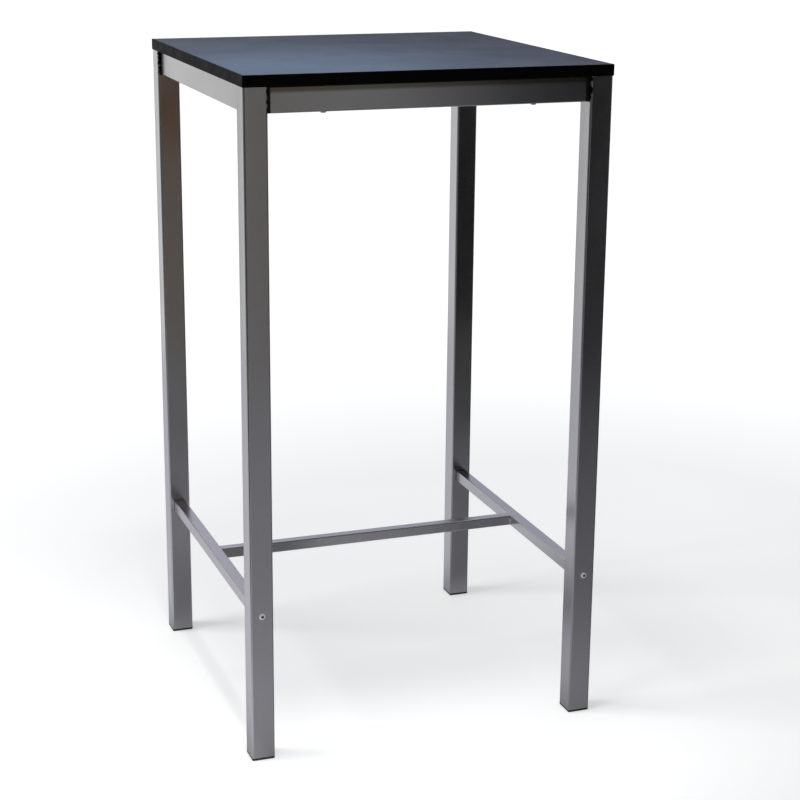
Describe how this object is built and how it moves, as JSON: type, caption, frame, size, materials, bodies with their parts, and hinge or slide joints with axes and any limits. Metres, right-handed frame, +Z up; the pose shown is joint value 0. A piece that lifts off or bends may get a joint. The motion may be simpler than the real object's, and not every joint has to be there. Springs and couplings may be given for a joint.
{
  "type": "pub table",
  "caption": "Tall square pub table: dark laminated top on a bolted frame of painted square steel tube with a low H-shaped foot stretcher.",
  "frame": {"origin": "on the floor, in the middle of the four feet", "axes": "+Z up, -Y towards the front, +X to the right seen from the front"},
  "size_m": [0.6, 0.6046, 1.1],
  "materials": {
    "top_laminate": "satin high-pressure laminate, dark slate grey with a faint blue cast",
    "board": "raw particle board",
    "backing_laminate": "matt balancing laminate",
    "edge_band": "satin black edge band, arrises scraped round",
    "painted_steel": "satin graphite silver powder coat",
    "plug_plastic": "moulded black polyethylene",
    "zinc_steel": "bright zinc plate",
    "dark_screw": "black zinc plate",
    "bright_bolt": "polished nickel plate"
  },
  "bodies": {
    "root": {"top_laminate": "top_laminate", "top_core": "board", "top_backing": "backing_laminate", "edge_band_front": "edge_band", "edge_band_rear": "edge_band", "edge_band_left": "edge_band", "edge_band_right": "edge_band", "leg_front_left": "painted_steel", "leg_front_right": "painted_steel", "leg_rear_left": "painted_steel", "leg_rear_right": "painted_steel", "apron_front": "painted_steel", "apron_rear": "painted_steel", "apron_left": "painted_steel", "apron_right": "painted_steel", "apron_plugs": "plug_plastic", "foot_plug_front_left": "plug_plastic", "foot_plug_front_right": "plug_plastic", "foot_plug_rear_left": "plug_plastic", "foot_plug_rear_right": "plug_plastic", "corner_brace_front_left": "painted_steel", "corner_brace_front_right": "painted_steel", "corner_brace_rear_left": "painted_steel", "corner_brace_rear_right": "painted_steel", "brace_welds": "painted_steel", "leg_nut_blocks": "zinc_steel", "corner_bolts": "zinc_steel", "side_bar_nuts": "zinc_steel", "top_screws": "dark_screw", "stretcher_bolts": "bright_bolt", "side_bar_left": "painted_steel", "side_bar_right": "painted_steel", "cross_bar": "painted_steel", "cross_bar_welds": "painted_steel", "side_bar_plugs": "plug_plastic"}
  },
  "joints": []
}
